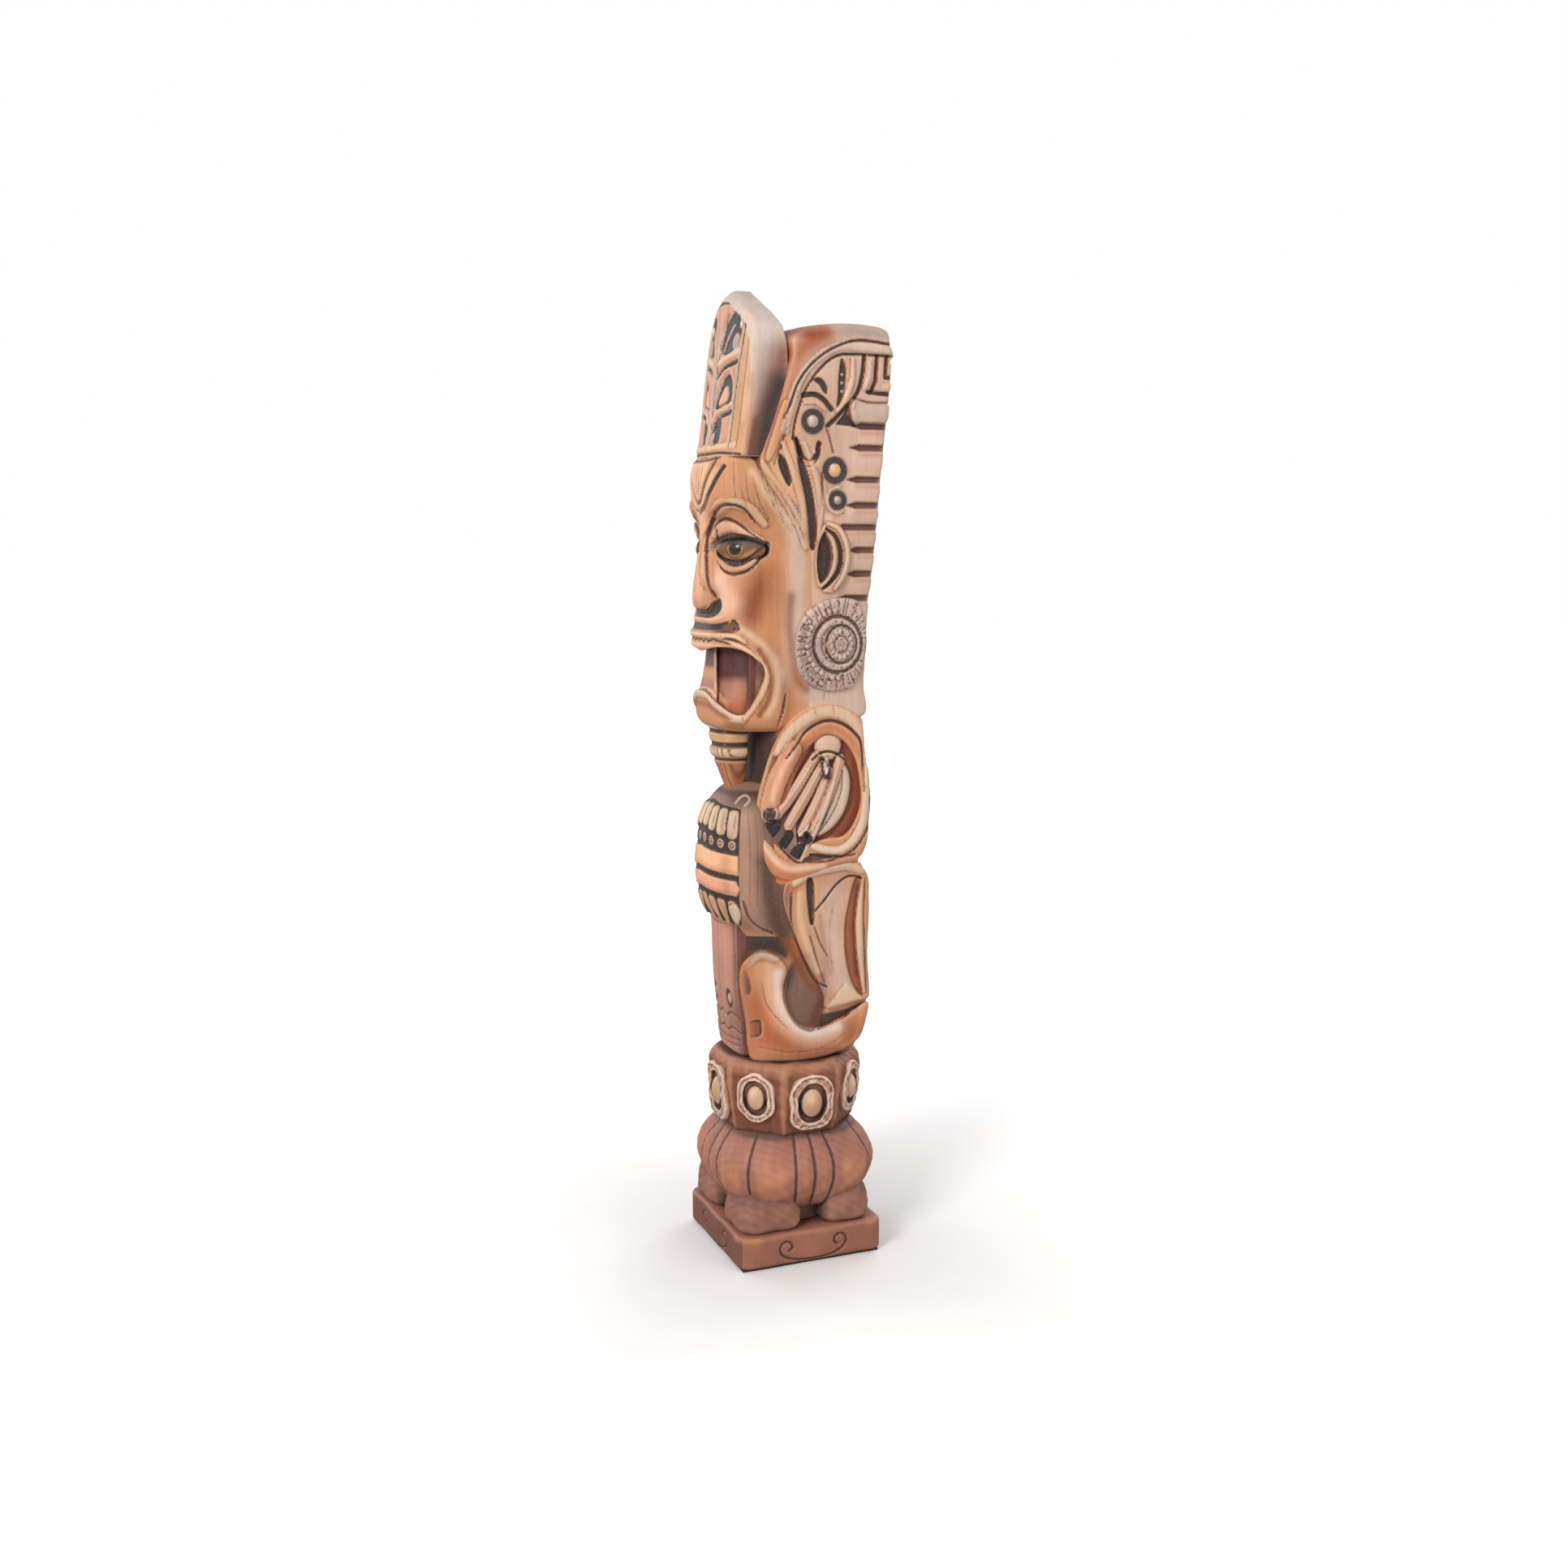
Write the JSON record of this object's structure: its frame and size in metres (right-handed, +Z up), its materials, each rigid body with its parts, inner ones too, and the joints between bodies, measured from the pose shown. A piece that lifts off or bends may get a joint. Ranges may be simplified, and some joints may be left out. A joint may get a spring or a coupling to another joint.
{
  "type": "carved tiki figure",
  "caption": "Tall carved and painted wooden idol squatting on a jewelled collar, fluted bulb, stubby feet and square plinth, with an open mouth, arms on its belly, tall hood and pointed crest.",
  "frame": {"origin": "middle of the felt rest face, under the centre of the plinth", "axes": "+Z up; the figure faces -Y; its left side is +X"},
  "size_m": [0.0822, 0.0931, 0.4943],
  "materials": {
    "golden_wood": "carved wood with honey stain, cream dry-brushed edges and rust-brown shading in the recesses",
    "brown_wood": "dull brown stain, satin",
    "terracotta": "terracotta red-brown wash over wood, matt, worn on edges",
    "worn_gold": "pale ochre paint rubbed back on rims, dark in the grooves",
    "cream": "cream and peach paint with blackened lines, satin",
    "rust": "dark rust stain, satin",
    "mauve_stone": "mauve-grey pitted paint, matt",
    "slate_paint": "grey-beige sides, slate-black ground in front with peach relief",
    "felt": "dark felt",
    "dowel": "raw birch dowel"
  },
  "bodies": {
    "root": {"back_left_foot": "terracotta", "back_left_foot_dowel": "dowel", "back_right_foot": "terracotta", "back_right_foot_dowel": "dowel", "beard": "golden_wood", "belly": "brown_wood", "breastplate": "cream", "cabochon_back": "worn_gold", "cabochon_back_left": "worn_gold", "cabochon_back_right": "worn_gold", "cabochon_front": "worn_gold", "cabochon_front_left": "worn_gold", "cabochon_front_right": "worn_gold", "cabochon_left": "worn_gold", "cabochon_right": "worn_gold", "collar_dowel": "dowel", "crest": "slate_paint", "crest_peg": "dowel", "felt_pad": "felt", "fluted_bulb": "terracotta", "front_left_foot": "terracotta", "front_left_foot_dowel": "dowel", "front_right_foot": "terracotta", "front_right_foot_dowel": "dowel", "head": "golden_wood", "headdress": "golden_wood", "headdress_dowel": "dowel", "jewel_collar": "terracotta", "left_arm": "golden_wood", "left_ear": "golden_wood", "left_ear_spool": "mauve_stone", "left_eye": "cream", "left_hand": "cream", "left_leg": "golden_wood", "left_spool_peg": "dowel", "left_thigh": "golden_wood", "loincloth": "terracotta", "lower_body": "golden_wood", "medallion_frame_back": "worn_gold", "medallion_frame_back_left": "worn_gold", "medallion_frame_back_right": "worn_gold", "medallion_frame_front": "worn_gold", "medallion_frame_front_left": "worn_gold", "medallion_frame_front_right": "worn_gold", "medallion_frame_left": "worn_gold", "medallion_frame_right": "worn_gold", "neck_dowel": "dowel", "plinth": "terracotta", "right_arm": "golden_wood", "right_ear": "golden_wood", "right_ear_spool": "mauve_stone", "right_eye": "cream", "right_hand": "cream", "right_leg": "golden_wood", "right_spool_peg": "dowel", "right_thigh": "golden_wood", "tongue": "rust", "torso": "golden_wood", "waist_dowel": "dowel"}
  },
  "joints": []
}
